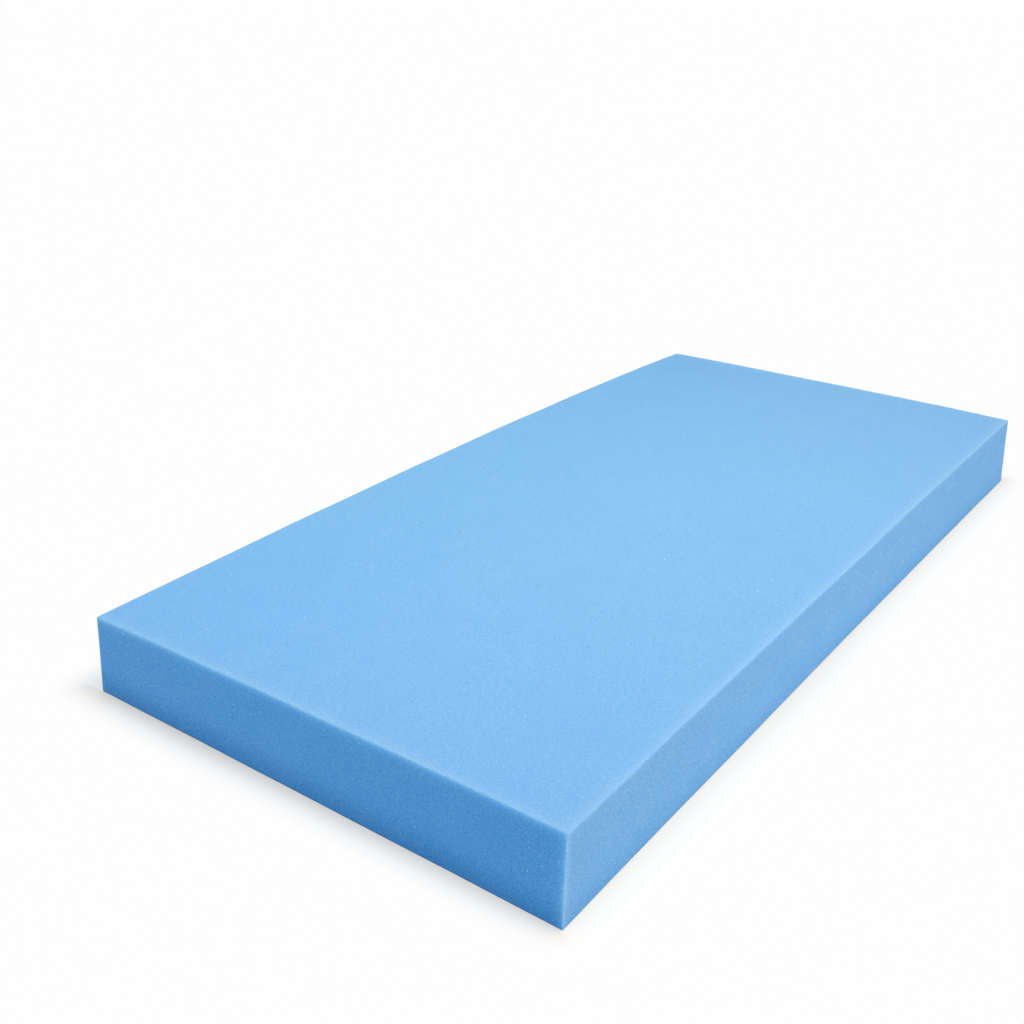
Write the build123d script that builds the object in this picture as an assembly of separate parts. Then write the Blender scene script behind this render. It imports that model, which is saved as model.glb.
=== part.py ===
from build123d import *
import os

# Upholstery foam sheet: one slab of soft open-cell foam, wire-cut from a block and lying flat.
# Frame: X runs along the sheet, Y across it, Z up. The origin is on the surface that the sheet
# lies on, under the middle of its outer box.

# Slab, as cut
length = 1300.0  # each long side, from corner to corner
width = 610.0  # each short side, from corner to corner
thickness = 100.0

# How far the long sides stray from a straight cut, at their middles
rear_belly = 10.0  # the rear side swells outwards
front_hollow = 3.0  # the front side draws inwards

# Round left on every cut edge, where the cells give way
edge_round = 2.5


def plan_outline() -> Face:
    """The sheet seen from above: straight short ends, long sides as shallow arcs."""
    right = length / 2
    left = -right
    rear_limit = (width + rear_belly) / 2
    front = -rear_limit
    rear = front + width
    front_side = ThreePointArc((left, front), (0, front + front_hollow), (right, front))
    right_end = Line((right, front), (right, rear))
    rear_side = ThreePointArc((right, rear), (0, rear_limit), (left, rear))
    left_end = Line((left, rear), (left, front))
    return make_face(Curve() + [front_side, right_end, rear_side, left_end])


def foam_sheet() -> Part:
    """The slab on its outline, with all twelve edges eased."""
    slab = extrude(plan_outline(), amount=thickness, dir=(0, 0, 1))
    eased = min(edge_round, 0.45 * thickness)
    return fillet(slab.edges(), radius=eased)


def main() -> None:
    """Makes the sheet and writes it under its name."""
    os.makedirs("parts", exist_ok=True)
    sheet = foam_sheet()
    sheet.label = "foam_sheet"
    export_step(sheet, "parts/foam_sheet.step")


if __name__ == "__main__":
    main()
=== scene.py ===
"""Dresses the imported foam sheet: a slab of sky-blue open-cell foam, wire-cut, flat on a pale floor.

The sheet's form is grown by a Geometry Nodes tree from its named sizes. Its finish is a node material
that reads Object coordinates and the attributes that the tree leaves on the mesh. Lengths are in metres.
"""

import logging
import math
from dataclasses import dataclass
from enum import Enum

import bpy
from mathutils import Matrix, Vector


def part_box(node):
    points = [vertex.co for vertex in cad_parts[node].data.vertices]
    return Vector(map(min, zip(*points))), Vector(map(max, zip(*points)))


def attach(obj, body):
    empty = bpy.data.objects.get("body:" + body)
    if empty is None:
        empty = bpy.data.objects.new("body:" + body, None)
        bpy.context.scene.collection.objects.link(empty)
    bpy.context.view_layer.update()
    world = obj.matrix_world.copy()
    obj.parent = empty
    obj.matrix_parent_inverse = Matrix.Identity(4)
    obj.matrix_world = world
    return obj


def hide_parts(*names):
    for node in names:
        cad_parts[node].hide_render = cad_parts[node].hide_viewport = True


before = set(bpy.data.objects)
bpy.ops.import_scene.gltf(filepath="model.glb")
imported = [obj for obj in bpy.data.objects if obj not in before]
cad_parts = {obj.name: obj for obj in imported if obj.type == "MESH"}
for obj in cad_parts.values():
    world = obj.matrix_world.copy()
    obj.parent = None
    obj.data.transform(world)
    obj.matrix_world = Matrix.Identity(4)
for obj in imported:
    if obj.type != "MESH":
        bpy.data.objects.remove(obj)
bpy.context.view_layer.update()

LOG = logging.getLogger("foam_sheet")
MM = 0.001
SHEET_NODE = "foam_sheet"

# Attributes of the mesh
REACH = "reach"  # distance to the nearest end, side and split face
FACING = "facing"  # how squarely the surface faces along the length, width and thickness
# A fleck is painted into the colour: a nib's paler as a painted glint, a pit's darker as painted shade.
FLECK = "fleck"  # 1 on a torn nib, below 0 inside an opened cell, 0 elsewhere
PLAIN_LIMIT = 0.1  # a fleck nearer to 0 than this is plain surface

Socket = bpy.types.NodeSocket
Colour = tuple[float, float, float]
Span = tuple[float, float]


class SocketKind(Enum):
    """Kinds of socket that a tree offers to the outside."""

    GEOMETRY = "NodeSocketGeometry"
    NUMBER = "NodeSocketFloat"
    COUNT = "NodeSocketInt"
    VECTOR = "NodeSocketVector"
    COLOUR = "NodeSocketColor"
    MATERIAL = "NodeSocketMaterial"


class Axis(Enum):
    """The sheet's own directions, with the output that each has on a Separate XYZ node."""

    LENGTH = "X"
    WIDTH = "Y"
    THICKNESS = "Z"


class Ease(Enum):
    """How a ramp gets from one end to the other."""

    SMOOTH = "SMOOTHSTEP"
    EVEN = "LINEAR"


def by_identifier(sockets: bpy.types.bpy_prop_collection, identifier: str) -> Socket:
    """Finds a socket on a node where several sockets have the same name."""
    return next(socket for socket in sockets if socket.identifier == identifier)


class NodeBench:
    """Adds, sets and links the nodes of one tree."""

    def __init__(self, tree: bpy.types.NodeTree) -> None:
        """Takes the tree that the bench works on."""
        self.tree = tree
        self.given: dict[str, Socket] = {}
        self.result: dict[str, Socket] = {}

    @classmethod
    def group(cls, name: str, tree_type: str, inputs: dict[str, SocketKind],
              outputs: dict[str, SocketKind]) -> "NodeBench":
        """Starts a new node group.

        Args:
            name: The group's name.
            tree_type: Blender's name for the kind of tree.
            inputs: Socket names and kinds, in order.
            outputs: Socket names and kinds, in order.

        Returns:
            A bench on the new tree, with its Group Input and Group Output in place.
        """
        tree = bpy.data.node_groups.new(name, tree_type)
        for socket_name, kind in inputs.items():
            tree.interface.new_socket(socket_name, in_out="INPUT", socket_type=kind.value)
        for socket_name, kind in outputs.items():
            tree.interface.new_socket(socket_name, in_out="OUTPUT", socket_type=kind.value)
        bench = cls(tree)
        bench.given = dict(bench.add("NodeGroupInput").outputs.items())
        bench.result = dict(bench.add("NodeGroupOutput").inputs.items())
        return bench

    def add(self, kind: str, **settings: object) -> bpy.types.Node:
        """Adds a node and sets its properties.

        Args:
            kind: Blender's name for the node.
            **settings: Properties of the node and their values.

        Returns:
            The new node.
        """
        node = self.tree.nodes.new(kind)
        for name, value in settings.items():
            setattr(node, name, value)
        return node

    def feed(self, socket: Socket, value: object) -> None:
        """Links a socket to another one, or gives it a plain value.

        Args:
            socket: The input to feed.
            value: An output socket, a number, a vector or a colour.
        """
        if isinstance(value, Socket):
            self.tree.links.new(value, socket)
        else:
            socket.default_value = value

    def wire(self, node: bpy.types.Node, **values: object) -> bpy.types.Node:
        """Feeds a node's inputs.

        Args:
            node: The node.
            **values: Input names, with underscores for spaces, and what feeds them.

        Returns:
            The same node.
        """
        for name, value in values.items():
            self.feed(node.inputs[name.replace("_", " ")], value)
        return node

    def place(self, tree: bpy.types.NodeTree, **values: object) -> dict[str, Socket]:
        """Places a group in this tree.

        Args:
            tree: The group's tree.
            **values: Input names, with underscores for spaces, and what feeds them.

        Returns:
            The group node's outputs, by name.
        """
        kinds = {"GeometryNodeTree": "GeometryNodeGroup", "ShaderNodeTree": "ShaderNodeGroup"}
        node = self.wire(self.add(kinds[self.tree.bl_idname], node_tree=tree), **values)
        return dict(node.outputs.items())

    def maths(self, operation: str, *values: object) -> Socket:
        """Works out one number.

        Args:
            operation: The Math node's operation.
            *values: Its inputs, in order.

        Returns:
            The result's socket.
        """
        node = self.add("ShaderNodeMath", operation=operation)
        for socket, value in zip(node.inputs, values):
            self.feed(socket, value)
        return node.outputs["Value"]

    def product(self, first: object, *others: object) -> Socket:
        """Multiplies numbers.

        Args:
            first: A number or a socket.
            *others: What it is multiplied by, one after the other.

        Returns:
            The product's socket.
        """
        for other in others:
            first = self.maths("MULTIPLY", first, other)
        return first

    def rest(self, share: object) -> Socket:
        """Gives what a share leaves of one."""
        return self.maths("SUBTRACT", 1.0, share)

    def vector(self, operation: str, *values: object) -> Socket:
        """Works out one vector, or one number from vectors.

        Args:
            operation: The Vector Math node's operation.
            *values: Its vectors, in order.

        Returns:
            The result's socket.
        """
        node = self.add("ShaderNodeVectorMath", operation=operation)
        for socket, value in zip(node.inputs, values):
            self.feed(socket, value)
        return node.outputs["Value" if operation in ("DOT_PRODUCT", "LENGTH") else "Vector"]

    def scaled(self, vector: object, factor: object) -> Socket:
        """Scales a vector."""
        node = self.wire(self.add("ShaderNodeVectorMath", operation="SCALE"), Vector=vector, Scale=factor)
        return node.outputs["Vector"]

    def ramp(self, value: object, start: object, end: object, low: object = 0.0, high: object = 1.0,
             ease: Ease = Ease.SMOOTH) -> Socket:
        """Maps a number from one range to another, held at both ends.

        Args:
            value: The number.
            start: Where the result is low.
            end: Where the result is high.
            low: Result at start and before it.
            high: Result at end and past it.
            ease: How it gets from low to high.

        Returns:
            The result's socket.
        """
        node = self.add("ShaderNodeMapRange", interpolation_type=ease.value, clamp=True)
        self.wire(node, Value=value, From_Min=start, From_Max=end, To_Min=low, To_Max=high)
        return node.outputs["Result"]

    def split(self, vector: Socket) -> dict[Axis, Socket]:
        """Takes a vector apart, into one socket for each axis."""
        node = self.wire(self.add("ShaderNodeSeparateXYZ"), Vector=vector)
        return {axis: node.outputs[axis.value] for axis in Axis}

    def join(self, parts: dict[Axis, object]) -> Socket:
        """Puts a vector together from a number or a socket for each axis."""
        named = {axis.value: value for axis, value in parts.items()}
        return self.wire(self.add("ShaderNodeCombineXYZ"), **named).outputs["Vector"]

    def blend(self, factor: object, first: object, second: object) -> Socket:
        """Blends two colours.

        Args:
            factor: 0 for the first, 1 for the second.
            first: A colour or its socket.
            second: A colour or its socket.

        Returns:
            The blended colour's socket.
        """
        node = self.add("ShaderNodeMix", data_type="RGBA")
        self.feed(node.inputs["Factor"], factor)
        self.feed(by_identifier(node.inputs, "A_Color"), first)
        self.feed(by_identifier(node.inputs, "B_Color"), second)
        return by_identifier(node.outputs, "Result_Color")

    def tinted(self, colour: object, tint: object, amount: object) -> Socket:
        """Moves each channel of a colour by the tint's share of it, times the amount of the tint."""
        gain = self.vector("ADD", self.scaled(tint, amount), (1.0, 1.0, 1.0))
        return self.vector("MULTIPLY", colour, gain)

    def noise(self, place: object, grain: float, detail: float, roughness: float = 0.5) -> bpy.types.Node:
        """Adds a noise of a given grain.

        Args:
            place: The coordinates, in metres.
            grain: The size of its largest lumps, in metres.
            detail: Octaves of finer lumps.
            roughness: How strong the finer lumps are.

        Returns:
            The noise node.
        """
        node = self.add("ShaderNodeTexNoise")
        return self.wire(node, Vector=place, Scale=1 / grain, Detail=detail, Roughness=roughness)

    def off_cell(self, place: object, size: float) -> Socket:
        """Measures how far each place is from the middle of its cell, as a share of the cells' spacing."""
        node = self.wire(self.add("ShaderNodeTexVoronoi", feature="F1"), Vector=place, Scale=1 / size)
        return node.outputs["Distance"]


@dataclass(frozen=True)
class CutTone:
    """How one kind of cut shows: its colour, which holds painted light and shade, its painted rim light, its
    grain's contrast and the painted shade at its foot.
    """

    colour: Colour
    painted_rim_light: Colour
    rim_reach: float
    contrast: float
    foot: float


@dataclass(frozen=True)
class FoamFinish:
    """Sky-blue open-cell foam, matt, as the blades left it, with light and shade painted into its colour.

    A tint holds how far each channel of the colour goes where there is all of it.
    """

    # The cuts' colours are lit and shaded copies of one foam colour: the split top is painted paler, a
    # painted sheen, and the cross-cut ends deeper, painted shade.
    split: CutTone = CutTone(colour=(0.221, 0.507, 0.836), painted_rim_light=(0.44, 0.16, 0.02), rim_reach=6.0 * MM,
                             contrast=0.72, foot=0.0)
    long_cut: CutTone = CutTone(colour=(0.200, 0.494, 0.884), painted_rim_light=(0.80, 0.30, 0.08), rim_reach=3.5 * MM,
                                contrast=1.2, foot=0.5)
    cross_cut: CutTone = CutTone(colour=(0.100, 0.365, 0.789), painted_rim_light=(1.35, 0.78, 0.38), rim_reach=3.6 * MM,
                                 contrast=1.25, foot=1.5)

    # Grain: cells, the strands between them and slow clouds
    cell_size: float = 1.1 * MM
    cell_span: Span = (0.1, 0.85)
    cell_gain: float = 0.60
    strand_size: float = 2.0 * MM
    strand_gain: float = 0.25
    cloud_size: float = 45.0 * MM
    cloud_gain: float = 0.03
    noise_span: Span = (0.3, 0.7)
    grain_tint: Colour = (0.58, 0.27, 0.10)
    painted_glint_and_shade_tint: Colour = (1.4, 0.6, 0.13)
    rim_calm: float = 0.5

    # Painted rim light: the top edge of a wall is painted paler above its foot, and the rear side's rim stays
    # weaker
    brow_share: float = 0.45
    brow_heights: Span = (30.0 * MM, 60.0 * MM)
    rear_rim: float = 0.15
    rear_rim_span: Span = (0.0, 0.2)
    # Painted highlight on the upright ridge where an end meets a long side
    painted_ridge_highlight_tint: Colour = (1.0, 0.14, -0.05)
    ridge_highlight_heights: Span = (2.0 * MM, 8.0 * MM)

    # Painted sheen over a whole face: the top is painted less pale towards the rear and bluer towards both
    # ends, and each end is painted paler towards the rear and deeper towards the front
    painted_rear_sheen_tint: Colour = (-0.075, -0.015, 0.01)
    rear_span: Span = (-0.1, 0.3)
    painted_outer_sheen_tint: Colour = (0.0, 0.004, 0.045)
    outer_span: Span = (0.2, 0.62)
    painted_end_face_sheen_tint: Colour = (0.08, 0.015, -0.005)
    end_span: Span = (-0.3, 0.3)

    # Painted shade at the foot of the walls, deepest on the ends, and a painted contact shadow along the
    # floor
    painted_foot_shade_tint: Colour = (-0.22, -0.14, -0.10)
    foot_heights: Span = (38.0 * MM, 0.0)
    painted_contact_shadow_tint: Colour = (-0.75, -0.50, -0.45)
    contact_heights: Span = (2.5 * MM, 0.6 * MM)

    # Shader
    relief: float = 0.5 * MM
    relief_strength: float = 0.1
    roughness: Span = (0.98, 0.86)
    roughness_span: Span = (-0.6, 0.6)
    diffuse_roughness: float = 0.3
    specular_level: float = 0.15
    scatter_weight: float = 0.5
    scatter_scale: float = 6.0 * MM
    scatter_radius: Colour = (0.5, 0.8, 1.0)

    def per_cut(self, quality: str) -> tuple:
        """Lists one quality of the three cuts, in the order of the axes that they face along."""
        return tuple(getattr(cut, quality) for cut in (self.cross_cut, self.long_cut, self.split))

    @staticmethod
    def by_cut() -> bpy.types.NodeTree:
        """Builds the group that picks a value for each kind of cut.

        Returns:
            A shader group. On a rounded edge the values of two or three cuts run together.
        """
        tones = {Axis.THICKNESS: "Split", Axis.WIDTH: "Long Cut", Axis.LENGTH: "Cross Cut"}
        bench = NodeBench.group(
            "Value by cut", "ShaderNodeTree",
            {"Share": SocketKind.VECTOR, **dict.fromkeys(tones.values(), SocketKind.VECTOR)},
            {"Value": SocketKind.VECTOR},
        )
        shares = bench.split(bench.given["Share"])
        value: object = (0.0, 0.0, 0.0)
        for axis, tone in tones.items():
            value = bench.vector("ADD", value, bench.scaled(bench.given[tone], shares[axis]))
        bench.feed(bench.result["Value"], value)
        return bench.tree

    def rim_light(self, bench: NodeBench, shares: dict[Axis, Socket], parts: dict[Axis, Socket]) -> Socket:
        """Works out the painted rim light: how much paler each place is painted, which grows towards the
        rims, where light passes through.

        Args:
            bench: The bench of the group.
            shares: How much of each kind of cut a place has.
            parts: Where it is along each axis.

        Returns:
            The amount of painted rim light, 1 at an edge.
        """
        reaches = bench.split(bench.given["Reach"])
        slopes = tuple(-1 / reach for reach in self.per_cut("rim_reach"))
        steepness = bench.vector("DOT_PRODUCT", bench.given["Share"], slopes)
        fall = {axis: bench.maths("EXPONENT", bench.product(reaches[axis], steepness)) for axis in Axis}
        others = {axis: bench.rest(shares[axis]) for axis in Axis}
        ends = bench.product(fall[Axis.LENGTH], others[Axis.LENGTH])
        to_rear = bench.ramp(parts[Axis.WIDTH], *self.rear_rim_span, 1.0, self.rear_rim)
        sides = bench.product(fall[Axis.WIDTH], others[Axis.WIDTH], to_rear)
        walls = bench.maths("MULTIPLY_ADD", shares[Axis.WIDTH], self.brow_share, shares[Axis.LENGTH])
        above_foot = bench.ramp(parts[Axis.THICKNESS], *self.brow_heights)
        brow = bench.product(fall[Axis.THICKNESS], walls, others[Axis.THICKNESS], above_foot)
        dark = bench.product(*(bench.rest(light) for light in (ends, sides, brow)))
        return bench.rest(dark)

    def grain(self, bench: NodeBench) -> Socket:
        """Draws the grain: open cells read a little deeper than the strands between them.

        Args:
            bench: The bench of the group.

        Returns:
            The grain, below 0 in a cell and above it on a strand.
        """
        place = bench.given["Place"]
        cells = bench.ramp(bench.off_cell(place, self.cell_size), *self.cell_span, -1.0, 1.0)
        strands = bench.noise(place, self.strand_size, detail=3.0, roughness=0.75).outputs["Fac"]
        strands = bench.ramp(strands, *self.noise_span, -1.0, 1.0, Ease.EVEN)
        return bench.maths("MULTIPLY_ADD", cells, self.cell_gain, bench.product(strands, self.strand_gain))

    def cut_surface(self) -> bpy.types.NodeTree:
        """Builds the group that draws cut open cells, with painted light and shade in their colour.

        Returns:
            A shader group: places and attributes in, colour, height and roughness out.
        """
        bench = NodeBench.group(
            "Cut open-cell surface", "ShaderNodeTree",
            {"Place": SocketKind.VECTOR, "Share": SocketKind.VECTOR, "Reach": SocketKind.VECTOR,
             "Fleck": SocketKind.NUMBER, "Tone": SocketKind.VECTOR, "Rim": SocketKind.VECTOR,
             "Contrast": SocketKind.NUMBER, "Foot": SocketKind.NUMBER},
            {"Colour": SocketKind.COLOUR, "Height": SocketKind.NUMBER, "Roughness": SocketKind.NUMBER},
        )
        given = bench.given
        shares = bench.split(given["Share"])
        parts = bench.split(given["Place"])
        height = parts[Axis.THICKNESS]
        grain = self.grain(bench)
        painted_rim_light = self.rim_light(bench, shares, parts)

        # The grain calms down towards the rims.
        clouds = bench.noise(given["Place"], self.cloud_size, detail=0.0).outputs["Fac"]
        clouds = bench.ramp(clouds, *self.noise_span, -self.cloud_gain, self.cloud_gain, Ease.EVEN)
        contrast = bench.product(given["Contrast"], bench.ramp(painted_rim_light, 0.0, 1.0, 1.0, self.rim_calm, Ease.EVEN))
        tone = bench.product(bench.maths("ADD", grain, clouds), contrast)

        to_rear = bench.ramp(parts[Axis.WIDTH], *self.rear_span)
        outer = bench.ramp(bench.maths("ABSOLUTE", parts[Axis.LENGTH]), *self.outer_span)
        along_end = bench.ramp(parts[Axis.WIDTH], *self.end_span, -1.0, 1.0, Ease.EVEN)
        above_floor = bench.ramp(height, *self.ridge_highlight_heights)
        # Painted light and shade go into the colour here: rim light, sheen over the faces, a ridge highlight,
        # shade at the foot, a contact shadow, glints on nibs and shade in pits.
        tints = (
            (self.grain_tint, tone),
            (given["Rim"], painted_rim_light),
            (self.painted_rear_sheen_tint, bench.product(to_rear, shares[Axis.THICKNESS])),
            (self.painted_outer_sheen_tint, bench.product(outer, shares[Axis.THICKNESS])),
            (self.painted_end_face_sheen_tint, bench.product(along_end, shares[Axis.LENGTH])),
            (self.painted_ridge_highlight_tint, bench.product(shares[Axis.LENGTH], shares[Axis.WIDTH], above_floor)),
            (self.painted_foot_shade_tint, bench.product(bench.ramp(height, *self.foot_heights), given["Foot"])),
            (self.painted_contact_shadow_tint, bench.ramp(height, *self.contact_heights)),
            (self.painted_glint_and_shade_tint, given["Fleck"]),
        )
        colour = given["Tone"]
        for tint, amount in tints:
            colour = bench.tinted(colour, tint, amount)
        bench.feed(bench.result["Colour"], colour)
        bench.feed(bench.result["Height"], grain)
        roughness = bench.ramp(grain, *self.roughness_span, *self.roughness, Ease.EVEN)
        bench.feed(bench.result["Roughness"], roughness)
        return bench.tree

    def material(self) -> bpy.types.Material:
        """Builds the foam's material.

        Returns:
            The material, with its shader at this level and the pattern in a group.
        """
        material = bpy.data.materials.new("Blue open-cell foam")
        material.use_nodes = True
        shader = material.node_tree.nodes["Principled BSDF"]
        bench = NodeBench(material.node_tree)
        facing = bench.add("ShaderNodeAttribute", attribute_name=FACING).outputs["Vector"]
        share = bench.vector("MULTIPLY", facing, facing)
        by_cut = self.by_cut()
        picked = {}
        for quality in ("colour", "painted_rim_light"):
            cross_cut, long_cut, split = self.per_cut(quality)
            chosen = bench.place(by_cut, Share=share, Split=split, Long_Cut=long_cut, Cross_Cut=cross_cut)
            picked[quality] = chosen["Value"]
        surface = bench.place(
            self.cut_surface(),
            Place=bench.add("ShaderNodeTexCoord").outputs["Object"],
            Share=share,
            Reach=bench.add("ShaderNodeAttribute", attribute_name=REACH).outputs["Vector"],
            Fleck=bench.add("ShaderNodeAttribute", attribute_name=FLECK).outputs["Fac"],
            Tone=picked["colour"],
            Rim=picked["painted_rim_light"],
            Contrast=bench.vector("DOT_PRODUCT", share, self.per_cut("contrast")),
            Foot=bench.vector("DOT_PRODUCT", share, self.per_cut("foot")),
        )
        bump = bench.add("ShaderNodeBump")
        bench.wire(bump, Strength=self.relief_strength, Distance=self.relief, Height=surface["Height"])
        bench.wire(
            shader,
            Base_Color=surface["Colour"],
            Roughness=surface["Roughness"],
            Normal=bump.outputs["Normal"],
            Diffuse_Roughness=self.diffuse_roughness,
            Specular_IOR_Level=self.specular_level,
            Subsurface_Weight=self.scatter_weight,
            Subsurface_Scale=self.scatter_scale,
            Subsurface_Radius=self.scatter_radius,
        )
        return material


@dataclass(frozen=True)
class CutMark:
    """A kind of mark that the blade leaves on a share of the small faces.

    Its width and rise are those of a middling one. A rise below 0 goes into the foam.
    """

    name: str
    share: float
    width: float
    rise: float
    fleck: float
    seed_step: int

    def settings(self) -> dict[str, float]:
        """Gives the form tree's inputs for this mark."""
        sizes = {"Share": self.share, "Width": self.width, "Rise": self.rise}
        return {f"{self.name} {size}": value for size, value in sizes.items()}


@dataclass
class FoamSheet:
    """The slab of foam, as cut and as it lies."""

    low: Vector
    high: Vector
    finish: FoamFinish

    # Form: bows of the long sides, rounds of the edges, the top's shape and tilt, and how the sides lean
    rear_belly: float = 10.0 * MM
    rear_skew: float = 0.26
    front_hollow: float = 2.1 * MM
    edge_round: float = 2.0 * MM
    foot_round: float = 1.3 * MM
    foot_heights: Span = (4.0 * MM, 20.0 * MM)
    rear_crown: float = 3.5 * MM
    dome: float = 1.5 * MM
    top_rise: float = 1.4 * MM
    length_rise: float = 3.0 * MM
    width_drop: float = 6.1 * MM
    rear_lean: float = 1.9 * MM
    front_lean: float = 3.8 * MM

    # Wander of the cut
    wander: float = 0.5 * MM
    wander_gain: float = 4.0
    wander_span: float = 170.0 * MM
    wander_heights: Span = (2.0 * MM, 20.0 * MM)

    # Rows of the grid
    length_rows: int = 191
    width_rows: int = 97
    thickness_rows: int = 23
    round_rows: int = 3
    growing_rows: int = 5
    row_growth: float = 1.5

    # Marks, of which a split face has fewer
    # A mark's fleck paints its walls: a pit's darker, painted shade, and a nib's paler, a painted glint.
    pit: CutMark = CutMark("Pit", share=0.012, width=1.0 * MM, rise=-0.6 * MM, fleck=-0.25, seed_step=0)
    nib: CutMark = CutMark("Nib", share=0.028, width=1.1 * MM, rise=0.3 * MM, fleck=1.0, seed_step=7)
    mark_spread: Span = (0.5, 1.5)
    mark_taper: float = 0.6
    mark_margin: float = 7.0 * MM
    mark_lowest: float = 4.0 * MM
    split_share: float = 0.2
    split_span: Span = (0.2, 0.8)
    seed: int = 11

    def own_inputs(self, *names: str) -> dict[str, float]:
        """Gives some of the sheet's numbers by their input names."""
        return {name.replace("_", " ").title(): getattr(self, name) for name in names}

    def sizes(self) -> dict[str, float]:
        """Gives the plain numbers that the form tree takes."""
        own = self.own_inputs("edge_round", "foot_round", "rear_belly", "rear_skew", "front_hollow",
                              "rear_crown", "dome", "top_rise", "length_rise", "width_drop", "rear_lean",
                              "front_lean", "wander", "split_share")
        return {**own, **self.pit.settings(), **self.nib.settings()}

    def counts(self) -> dict[str, float]:
        """Gives the whole numbers that the form tree takes."""
        return self.own_inputs("length_rows", "width_rows", "thickness_rows", "seed")

    def settings(self) -> dict[str, object]:
        """Gives all that the form tree takes.

        Returns:
            Input names and values.
        """
        width = self.high.y - self.low.y - self.rear_belly
        thickness = self.high.z - self.low.z
        middle = ((self.low.x + self.high.x) / 2, self.low.y + width / 2, self.low.z + thickness / 2)
        return {"Size": (self.high.x - self.low.x, width, thickness), "Middle": middle,
                **self.sizes(), **self.counts(), "Finish": self.finish.material()}

    def graded_rows(self) -> bpy.types.NodeTree:
        """Builds the group that spaces the rows of one axis: close at the edges, even between them.

        Returns:
            A group that takes a place from -0.5 to 0.5 and gives the place in metres and the distance
            to the edge.
        """
        bench = NodeBench.group(
            "Graded rows", "GeometryNodeTree",
            {"Share": SocketKind.NUMBER, "Rows": SocketKind.NUMBER, "Half": SocketKind.NUMBER,
             "Edge Round": SocketKind.NUMBER},
            {"Place": SocketKind.NUMBER, "From Edge": SocketKind.NUMBER},
        )
        given = bench.given
        last = bench.maths("SUBTRACT", given["Rows"], 1.0)
        inward = bench.maths("SUBTRACT", 0.5, bench.maths("ABSOLUTE", given["Share"]))
        row = bench.product(inward, last)

        # Rows on the rounded edge turn by equal angles, and the next ones grow step by step.
        angles = [math.radians(45) * (1 - k / self.round_rows) for k in range(self.round_rows + 1)]
        steps = [math.tan(a) - math.tan(b) for a, b in zip(angles, angles[1:])]
        steps += [steps[-1] * self.row_growth ** (k + 1) for k in range(self.growing_rows)]
        reach: object = 0.0
        for k, step in enumerate(steps):
            taken = bench.wire(bench.add("ShaderNodeClamp"), Value=bench.maths("SUBTRACT", row, float(k)))
            width = bench.product(given["Edge Round"], step, taken.outputs["Result"])
            reach = bench.maths("ADD", reach, width)

        # The other rows share what is left.
        rim_width = bench.product(given["Edge Round"], sum(steps))
        spare_rows = bench.maths("SUBTRACT", bench.product(last, 0.5), float(len(steps)))
        even_step = bench.maths("DIVIDE", bench.maths("SUBTRACT", given["Half"], rim_width), spare_rows)
        past_rim = bench.maths("MAXIMUM", bench.maths("SUBTRACT", row, float(len(steps))), 0.0)
        from_edge = bench.maths("ADD", reach, bench.product(past_rim, even_step))
        off_middle = bench.maths("SUBTRACT", given["Half"], from_edge)
        bench.feed(bench.result["Place"], bench.product(bench.maths("SIGN", given["Share"]), off_middle))
        bench.feed(bench.result["From Edge"], from_edge)
        return bench.tree

    def form_tree(self) -> bpy.types.NodeTree:
        """Builds the tree that grows the sheet.

        Returns:
            A Geometry Nodes tree whose inputs are the sheet's sizes, its seed and its finish.
        """
        bench = NodeBench.group(
            "Foam sheet form", "GeometryNodeTree",
            {"Size": SocketKind.VECTOR, "Middle": SocketKind.VECTOR,
             **dict.fromkeys(self.sizes(), SocketKind.NUMBER),
             **dict.fromkeys(self.counts(), SocketKind.COUNT), "Finish": SocketKind.MATERIAL},
            {"Sheet": SocketKind.GEOMETRY},
        )
        halves = bench.split(bench.scaled(bench.given["Size"], 0.5))
        mesh = self.grid(bench, halves)
        mesh = self.eased(bench, mesh, halves)
        mesh = self.moved(bench, mesh, self.bowed(bench, halves))
        mesh = self.moved(bench, mesh, self.wandered(bench))
        mesh = self.marked(bench, mesh)
        shaded = bench.add("GeometryNodeSetShadeSmooth")
        bench.wire(shaded, Geometry=mesh, Shade_Smooth=self.unmarked(bench))
        realized = bench.wire(bench.add("GeometryNodeRealizeInstances"), Geometry=shaded.outputs["Geometry"])
        finished = bench.add("GeometryNodeSetMaterial")
        bench.wire(finished, Geometry=realized.outputs["Geometry"], Material=bench.given["Finish"])
        bench.feed(bench.result["Sheet"], finished.outputs["Geometry"])
        return bench.tree

    def grid(self, bench: NodeBench, halves: dict[Axis, Socket]) -> Socket:
        """Lays the grid of a box in its true size, with close rows at the edges.

        Args:
            bench: The bench of the tree.
            halves: Half of the sheet's size along each axis.

        Returns:
            The mesh, which keeps how far each point is from the box's faces.
        """
        rows = {axis: bench.given[f"{axis.name.title()} Rows"] for axis in Axis}
        box = bench.add("GeometryNodeMeshCube")
        bench.wire(box, Size=(1, 1, 1), **{f"Vertices {axis.value}": rows[axis] for axis in Axis})
        shares = bench.split(self.position(bench))
        grading = self.graded_rows()
        places = {}
        reaches = {}
        for axis in Axis:
            graded = bench.place(grading, Share=shares[axis], Rows=rows[axis], Half=halves[axis],
                                 Edge_Round=bench.given["Edge Round"])
            places[axis] = graded["Place"]
            reaches[axis] = graded["From Edge"]
        mesh = box.outputs["Mesh"]
        mesh = self.stored(bench, mesh, REACH, bench.join(reaches), data_type="FLOAT_VECTOR")
        return self.moved(bench, mesh, bench.join(places))

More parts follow.
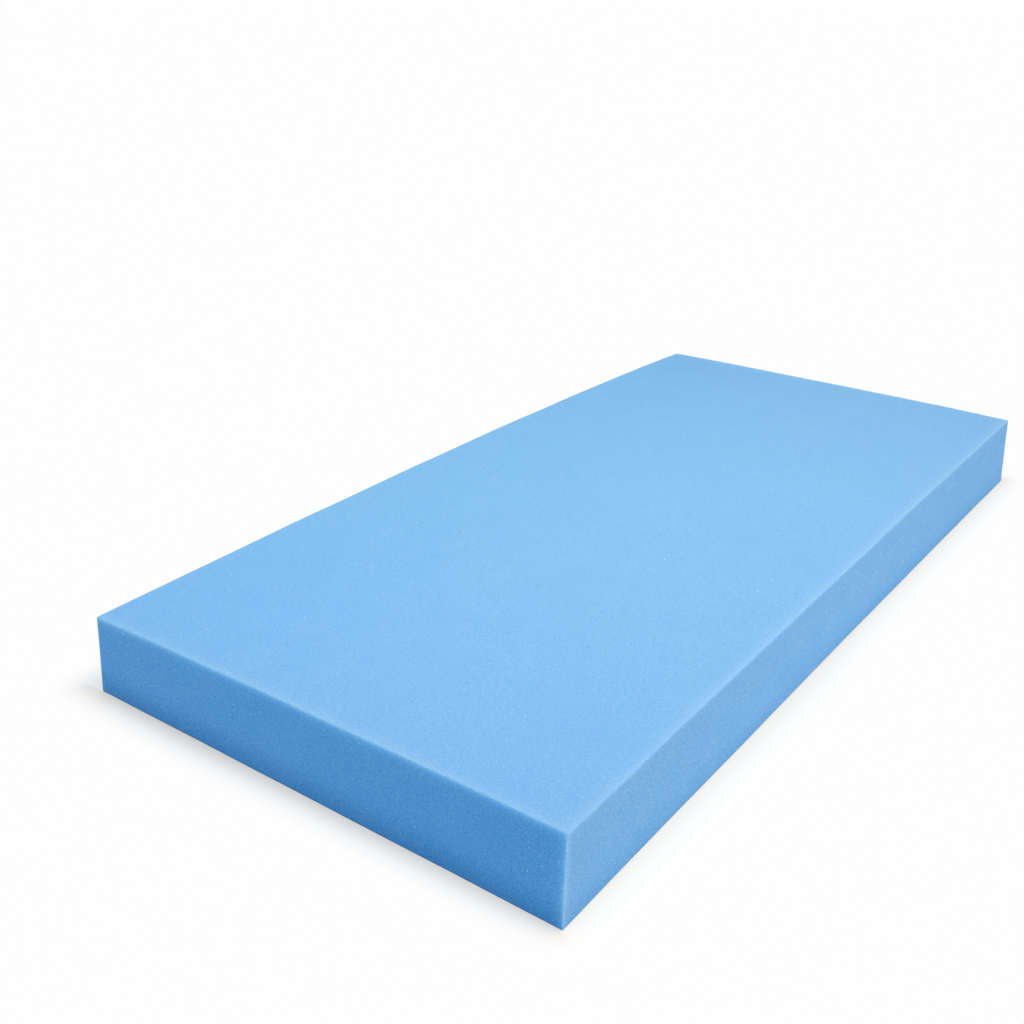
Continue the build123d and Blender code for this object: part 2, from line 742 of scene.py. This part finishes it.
    def eased(self, bench: NodeBench, mesh: Socket, halves: dict[Axis, Socket]) -> Socket:
        """Eases the edges: what lies outside the inner box is drawn onto a round of its surface.

        Args:
            bench: The bench of the tree.
            mesh: The mesh of the box.
            halves: Half of the sheet's size along each axis.

        Returns:
            The mesh, which keeps the way that each point faces.
        """
        given = bench.given
        place = self.position(bench)
        height = bench.maths("ADD", bench.split(place)[Axis.THICKNESS], halves[Axis.THICKNESS])
        radius = bench.ramp(height, *self.foot_heights, given["Foot Round"], given["Edge Round"])
        inset = bench.join(dict.fromkeys(Axis, radius))
        inner = bench.vector("SUBTRACT", bench.scaled(given["Size"], 0.5), inset)
        core = bench.vector("MAXIMUM", bench.vector("MINIMUM", place, inner), bench.scaled(inner, -1.0))
        outward = bench.vector("NORMALIZE", bench.vector("SUBTRACT", place, core))
        facing = bench.vector("ABSOLUTE", outward)
        mesh = self.stored(bench, mesh, FACING, facing, data_type="FLOAT_VECTOR")
        return self.moved(bench, mesh, bench.vector("ADD", core, bench.scaled(outward, radius)))

    def bowed(self, bench: NodeBench, halves: dict[Axis, Socket]) -> Socket:
        """Bows the long sides and lets them lean, and shapes the top.

        Args:
            bench: The bench of the tree.
            halves: Half of the sheet's size along each axis.

        Returns:
            The new place of each point.
        """
        given = bench.given
        place = self.position(bench)
        parts = bench.split(place)
        share = {axis: bench.maths("DIVIDE", parts[axis], halves[axis]) for axis in Axis}
        to_right, to_rear, to_top = (bench.maths("MULTIPLY_ADD", share[axis], 0.5, 0.5) for axis in Axis)
        to_left = bench.rest(to_right)
        to_front = bench.rest(to_rear)
        arch = bench.rest(bench.maths("POWER", share[Axis.LENGTH], 2.0))
        skewed = bench.maths("MULTIPLY_ADD", share[Axis.LENGTH], given["Rear Skew"], 1.0)

        # The long sides bow and lean.
        rear_bow = bench.product(to_rear, skewed, given["Rear Belly"])
        front_bow = bench.product(to_front, given["Front Hollow"])
        bow = bench.product(arch, bench.maths("ADD", rear_bow, front_bow))
        front_lean = bench.product(to_front, to_right, given["Front Lean"])
        rear_lean = bench.product(to_rear, to_left, given["Rear Lean"])
        lean = bench.product(bench.maths("SUBTRACT", front_lean, rear_lean), share[Axis.THICKNESS])
        shift = bench.maths("ADD", bow, lean)

        # The top is a low dome with a crowned rear edge, and it tilts.
        crown = bench.product(arch, skewed, bench.maths("POWER", to_rear, 2.0), given["Rear Crown"])
        across = bench.rest(bench.maths("POWER", bench.maths("ABSOLUTE", share[Axis.WIDTH]), 4.0))
        domed = bench.maths("MULTIPLY_ADD", across, given["Dome"], crown)
        rise = bench.maths("MULTIPLY_ADD", to_right, given["Length Rise"], given["Top Rise"])
        tilt = bench.maths("SUBTRACT", rise, bench.product(to_rear, given["Width Drop"]))
        lift = bench.product(to_top, bench.maths("ADD", domed, tilt))
        offset = bench.join({Axis.LENGTH: 0.0, Axis.WIDTH: shift, Axis.THICKNESS: lift})
        return bench.vector("ADD", bench.vector("ADD", place, offset), given["Middle"])

    def wandered(self, bench: NodeBench) -> Socket:
        """Lets the cut wander a little, as a wire does in soft foam. The base stays flat.

        Args:
            bench: The bench of the tree.

        Returns:
            The new place of each point.
        """
        place = self.position(bench)
        slow = bench.noise(place, self.wander_span, detail=4.0, roughness=0.45).outputs["Color"]
        swing = bench.scaled(bench.vector("SUBTRACT", slow, (0.5, 0.5, 0.5)),
                             bench.product(bench.given["Wander"], self.wander_gain))
        above = bench.ramp(bench.split(place)[Axis.THICKNESS], *self.wander_heights)
        level = bench.join({Axis.LENGTH: 1.0, Axis.WIDTH: 1.0, Axis.THICKNESS: above})
        return bench.vector("ADD", place, bench.vector("MULTIPLY", swing, level))

    def marked(self, bench: NodeBench, mesh: Socket) -> Socket:
        """Sinks opened cells into the cut faces and raises torn nibs on them.

        Args:
            bench: The bench of the tree.
            mesh: The mesh of the plain sheet.

        Returns:
            The mesh with both.
        """
        given = bench.given
        mesh = self.stored(bench, mesh, FLECK, 0.0, domain="FACE")
        facing = bench.split(self.recalled(bench, FACING, data_type="FLOAT_VECTOR"))
        fewer = bench.ramp(facing[Axis.THICKNESS], *self.split_span, 1.0, given["Split Share"])
        for mark in (self.pit, self.nib):
            seed = bench.maths("ADD", given["Seed"], float(mark.seed_step))
            chosen = bench.add("FunctionNodeRandomValue", data_type="BOOLEAN")
            bench.wire(chosen, Probability=bench.product(given[f"{mark.name} Share"], fewer), Seed=seed)
            drawn = by_identifier(chosen.outputs, "Value_003")
            inside = bench.maths("GREATER_THAN", self.from_edge(bench), self.mark_margin)
            height = bench.split(self.position(bench))[Axis.THICKNESS]
            above = bench.maths("GREATER_THAN", height, self.mark_lowest)
            where = bench.product(drawn, inside, above, self.unmarked(bench))

            # The chosen face shrinks to the mark's own width, then it goes in or out and tapers.
            inset = self.extruded(bench, mesh, where, 0.0)
            spread = bench.wire(bench.add("FunctionNodeRandomValue", data_type="FLOAT"), Seed=seed)
            for identifier, limit in zip(("Min_001", "Max_001"), self.mark_spread):
                by_identifier(spread.inputs, identifier).default_value = limit
            own = by_identifier(spread.outputs, "Value_001")
            side = bench.maths("SQRT", bench.add("GeometryNodeInputMeshFaceArea").outputs["Area"])
            share = bench.maths("DIVIDE", bench.product(given[f"{mark.name} Width"], own), side)
            mesh = self.shrunk(bench, inset.outputs["Mesh"], inset.outputs["Top"], share)
            rise = bench.product(given[f"{mark.name} Rise"], own)
            pushed = self.extruded(bench, mesh, inset.outputs["Top"], rise)
            mesh = self.shrunk(bench, pushed.outputs["Mesh"], pushed.outputs["Top"], self.mark_taper)
            walls = bench.maths("MAXIMUM", pushed.outputs["Top"], pushed.outputs["Side"])
            mesh = self.stored(bench, mesh, FLECK, mark.fleck, domain="FACE", where=walls)
        return mesh

    def from_edge(self, bench: NodeBench) -> Socket:
        """Gives the distance to the nearest edge, the second smallest of the three distances."""
        reach = bench.split(self.recalled(bench, REACH, data_type="FLOAT_VECTOR"))
        nearer = bench.maths("MINIMUM", reach[Axis.LENGTH], reach[Axis.WIDTH])
        further = bench.maths("MAXIMUM", reach[Axis.LENGTH], reach[Axis.WIDTH])
        return bench.maths("MAXIMUM", nearer, bench.maths("MINIMUM", further, reach[Axis.THICKNESS]))

    def unmarked(self, bench: NodeBench) -> Socket:
        """Tells which faces have no mark."""
        return bench.maths("LESS_THAN", bench.maths("ABSOLUTE", self.recalled(bench, FLECK)), PLAIN_LIMIT)

    @staticmethod
    def position(bench: NodeBench) -> Socket:
        """Gives the place of each point, or the middle of each face."""
        return bench.add("GeometryNodeInputPosition").outputs["Position"]

    @staticmethod
    def moved(bench: NodeBench, mesh: Socket, place: Socket) -> Socket:
        """Puts the mesh's points in new places."""
        node = bench.wire(bench.add("GeometryNodeSetPosition"), Geometry=mesh, Position=place)
        return node.outputs["Geometry"]

    @staticmethod
    def stored(bench: NodeBench, mesh: Socket, name: str, value: object, domain: str = "POINT",
               data_type: str = "FLOAT", where: object = True) -> Socket:
        """Stores a number or a vector on the mesh.

        Args:
            bench: The bench of the tree.
            mesh: The mesh to store it on.
            name: The attribute's name.
            value: The number or vector.
            domain: Where it is stored.
            data_type: What it is.
            where: Which elements get it.

        Returns:
            The mesh with the attribute.
        """
        node = bench.add("GeometryNodeStoreNamedAttribute", data_type=data_type, domain=domain)
        return bench.wire(node, Geometry=mesh, Selection=where, Name=name, Value=value).outputs["Geometry"]

    @staticmethod
    def recalled(bench: NodeBench, name: str, data_type: str = "FLOAT") -> Socket:
        """Reads a stored attribute back."""
        node = bench.add("GeometryNodeInputNamedAttribute", data_type=data_type)
        return bench.wire(node, Name=name).outputs["Attribute"]

    @staticmethod
    def extruded(bench: NodeBench, mesh: Socket, where: Socket, rise: object) -> bpy.types.Node:
        """Extrudes faces one by one along their normals."""
        node = bench.add("GeometryNodeExtrudeMesh", mode="FACES")
        return bench.wire(node, Mesh=mesh, Selection=where, Offset_Scale=rise, Individual=True)

    @staticmethod
    def shrunk(bench: NodeBench, mesh: Socket, where: Socket, share: object) -> Socket:
        """Shrinks faces one by one about their middles, to a share of their size."""
        node = bench.add("GeometryNodeScaleElements", domain="FACE")
        return bench.wire(node, Geometry=mesh, Selection=where, Scale=share).outputs["Geometry"]

    def build(self) -> bpy.types.Object:
        """Grows the sheet and leaves it as a plain mesh.

        Returns:
            The sheet's object, at the origin.
        """
        sheet = bpy.data.objects.new("upholstery_foam", bpy.data.meshes.new("upholstery_foam"))
        bpy.context.scene.collection.objects.link(sheet)
        growth = sheet.modifiers.new("Form", "NODES")
        growth.node_group = self.form_tree()
        values = self.settings()
        for item in growth.node_group.interface.items_tree:
            if item.in_out == "INPUT":
                growth[item.identifier] = values[item.name]
        graph = bpy.context.evaluated_depsgraph_get()
        grown = bpy.data.meshes.new_from_object(sheet.evaluated_get(graph), preserve_all_data_layers=True,
                                                depsgraph=graph)
        sheet.modifiers.remove(growth)
        sheet.data = grown
        grown.name = sheet.name
        return sheet

    def dress(self) -> bpy.types.Object:
        """Builds the sheet and hands it to the frame.

        Returns:
            The sheet's object.
        """
        sheet = self.build()
        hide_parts(SHEET_NODE)
        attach(sheet, "root")
        return sheet


@dataclass(frozen=True)
class Softbox:
    """A round softbox that hangs over the sheet and faces straight down."""

    name: str
    centre: tuple[float, float, float]
    width: float
    power: float

    def hang(self) -> bpy.types.Object:
        """Hangs the softbox.

        Returns:
            The lamp's object.
        """
        light = bpy.data.lights.new(self.name, "AREA")
        light.shape = "DISK"
        light.size = self.width
        light.energy = self.power
        lamp = bpy.data.objects.new(self.name, light)
        lamp.location = self.centre
        bpy.context.scene.collection.objects.link(lamp)
        return lamp


@dataclass(frozen=True)
class Fill:
    """A wide, even light from far away."""

    name: str
    strength: float
    spread: float
    heading: float
    elevation: float

    def hang(self) -> bpy.types.Object:
        """Hangs the light.

        Returns:
            The lamp's object.
        """
        light = bpy.data.lights.new(self.name, "SUN")
        light.energy = self.strength
        light.angle = math.radians(self.spread)
        lamp = bpy.data.objects.new(self.name, light)
        heading = math.radians(self.heading)
        elevation = math.radians(self.elevation)
        level = math.cos(elevation)
        towards = Vector((math.cos(heading) * level, math.sin(heading) * level, math.sin(elevation)))
        lamp.rotation_euler = towards.to_track_quat("Z", "Y").to_euler()
        bpy.context.scene.collection.objects.link(lamp)
        return lamp


@dataclass(frozen=True)
class PaleFloor:
    """The floor's finish: pale, with the sheet's real shadow close to it, shaped by painted shade and a
    painted fade to white, and plain white further off.
    """

    lit: Colour = (0.9, 0.9, 0.9)
    seen: Colour = (0.59, 0.58, 0.57)
    by_foam: Colour = (0.65, 0.58, 0.48)
    by_foam_reach: float = 40.0 * MM
    by_foam_end: Span = (-10.0 * MM, 5.0 * MM)
    glow: float = 0.44
    white: float = 0.99
    shadow_reach: float = 47.0 * MM
    shadow_behind: float = 11.0 * MM
    # Painted contact shadow by the ends, and painted light by the near left corner
    contact_reach: float = 22.0 * MM
    painted_contact_shadow_drop: float = 0.089
    corner_reach: float = 0.45
    painted_corner_lift: float = 0.074
    corner_share: float = 0.8
    least_distance: float = 0.1 * MM

    def material(self, half_x: float, half_y: float) -> bpy.types.Material:
        """Builds the floor's material.

        Args:
            half_x: Half of the sheet's length.
            half_y: Half of its width.

        Returns:
            The material.
        """
        material = bpy.data.materials.new("Pale floor")
        material.use_nodes = True
        shader = material.node_tree.nodes["Principled BSDF"]
        bench = NodeBench(material.node_tree)
        bench.wire(shader, Roughness=1.0, Specular_IOR_Level=0.0, Emission_Color=(1, 1, 1, 1))
        seen = bench.add("ShaderNodeLightPath").outputs["Is Camera Ray"]
        place = bench.add("ShaderNodeTexCoord").outputs["Object"]

        # How far a place is beyond the sheet, measured from a box that reaches a little further behind it, so
        # that the painted fade to white leaves the shadow longer there.
        shift = self.shadow_behind / 2
        off_middle = bench.vector("ABSOLUTE", bench.vector("SUBTRACT", place, (0.0, shift, 0.0)))
        beyond = bench.vector("SUBTRACT", off_middle, (half_x, half_y + shift, 0.0))
        beyond = bench.vector("MAXIMUM", beyond, (0.0, 0.0, 0.0))
        distance = bench.vector("LENGTH", beyond)

        # The real shadow is cut short by a painted fade to white, which comes sooner by the near left corner,
        # where the floor is also painted lighter.
        off_corner = bench.vector("LENGTH", bench.vector("ADD", place, (half_x, half_y, 0.0)))
        corner = bench.ramp(off_corner, self.corner_reach, 0.0, ease=Ease.EVEN)
        short_reach = self.shadow_reach * self.corner_share
        reach = bench.ramp(corner, 0.0, 1.0, self.shadow_reach, short_reach, Ease.EVEN)
        clear = bench.ramp(distance, 0.0, reach)

        # Painted tint: beside the lit cuts the floor is painted a little warmer, which cancels the blue light
        # that the foam throws on it.
        behind = bench.ramp(bench.split(place)[Axis.WIDTH], *(half_y + end for end in self.by_foam_end))
        off_faces = bench.vector("DOT_PRODUCT", beyond, (1.0, 1.0, 0.0))
        away = bench.maths("MAXIMUM", bench.ramp(off_faces, 0.0, self.by_foam_reach), behind)
        near = bench.blend(away, (*self.by_foam, 1), (*self.seen, 1))
        near = bench.blend(clear, near, (0, 0, 0, 1))
        bench.feed(shader.inputs["Base Color"], bench.blend(seen, (*self.lit, 1), near))

        # Painted contact shadow: the floor's glow drops where the ends touch it.
        off_end = bench.split(beyond)[Axis.LENGTH]
        endways = bench.maths("DIVIDE", off_end, bench.maths("MAXIMUM", distance, self.least_distance))
        painted_contact_shadow = bench.product(bench.ramp(distance, self.contact_reach, 0.0, ease=Ease.EVEN), endways)
        glow = bench.maths("MULTIPLY_ADD", corner, self.painted_corner_lift, self.glow)
        glow = bench.maths("MULTIPLY_ADD", painted_contact_shadow, -self.painted_contact_shadow_drop, glow)
        glow = bench.ramp(clear, 0.0, 1.0, glow, self.white, Ease.EVEN)
        bench.feed(shader.inputs["Emission Strength"], bench.product(seen, glow))
        return material


@dataclass(frozen=True)
class Studio:
    """A pale floor under soft light from above."""

    sheet_half: tuple[float, float]
    floor_size: float = 80.0
    floor_finish: PaleFloor = PaleFloor()
    ambient: float = 0.46
    overhead: Softbox = Softbox("Overhead softbox", centre=(-0.173, -0.176, 1.4), width=1.4, power=10.2)
    front: Fill = Fill("Front fill", strength=0.45, spread=50.0, heading=-75.0, elevation=40.0)
    left: Fill = Fill("Left fill", strength=0.46, spread=50.0, heading=-160.0, elevation=18.0)

    def floor(self) -> bpy.types.Object:
        """Lays the floor.

        Returns:
            The floor's object.
        """
        half = self.floor_size / 2
        corners = [(-half, -half, 0), (half, -half, 0), (half, half, 0), (-half, half, 0)]
        mesh = bpy.data.meshes.new("studio_floor")
        mesh.from_pydata(corners, [], [(0, 1, 2, 3)])
        mesh.materials.append(self.floor_finish.material(*self.sheet_half))
        floor = bpy.data.objects.new("studio_floor", mesh)
        bpy.context.scene.collection.objects.link(floor)
        return floor

    def backdrop(self) -> None:
        """Sets a white surround that lights the sheet at the ambient level."""
        world = bpy.data.worlds.new("White surround")
        bpy.context.scene.world = world
        world.use_nodes = True
        background = world.node_tree.nodes["Background"]
        background.inputs["Color"].default_value = (1, 1, 1, 1)
        bench = NodeBench(world.node_tree)
        path = bench.add("ShaderNodeLightPath").outputs
        seen = bench.maths("MAXIMUM", path["Is Glossy Ray"], path["Is Transmission Ray"])
        seen = bench.maths("MAXIMUM", path["Is Camera Ray"], seen)
        strength = bench.maths("MULTIPLY_ADD", seen, 1 - self.ambient, self.ambient)
        bench.feed(background.inputs["Strength"], strength)

    def set_up(self) -> None:
        """Lays the floor, sets the surround and hangs the lamps."""
        self.floor()
        self.backdrop()
        for lamp in (self.overhead, self.front, self.left):
            lamp.hang()


@dataclass(frozen=True)
class PhotoCamera:
    """The camera, at the photograph's viewing angle."""

    position: tuple[float, float, float] = (-1.3397, -0.7269, 0.7409)
    heading: float = 34.967
    pitch: float = 23.785
    roll: float = 1.724
    lens: float = 42.964
    sensor: float = 36.0

    def set_up(self) -> bpy.types.Object:
        """Places the camera and makes it the scene's own.

        Returns:
            The camera's object.
        """
        data = bpy.data.cameras.new("Photo camera")
        data.lens = self.lens
        data.sensor_width = self.sensor
        camera = bpy.data.objects.new("Photo camera", data)
        turn = Matrix.Rotation(math.radians(self.heading - 90), 4, "Z")
        tilt = Matrix.Rotation(math.radians(90 - self.pitch), 4, "X")
        lean = Matrix.Rotation(math.radians(self.roll), 4, "Z")
        camera.matrix_world = Matrix.Translation(self.position) @ turn @ tilt @ lean
        bpy.context.scene.collection.objects.link(camera)
        bpy.context.scene.camera = camera
        return camera


def main() -> None:
    """Builds the sheet and its studio."""
    logging.basicConfig(level=logging.INFO, format="%(message)s")
    low, high = (Vector(corner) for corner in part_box(SHEET_NODE))
    sheet = FoamSheet(low, high, FoamFinish()).dress()
    LOG.info("%s: %d faces", sheet.name, len(sheet.data.polygons))
    Studio(sheet_half=((high.x - low.x) / 2, (high.y - low.y) / 2)).set_up()
    PhotoCamera().set_up()
    bpy.context.scene.view_settings.view_transform = "Standard"


if __name__ == "__main__":
    main()
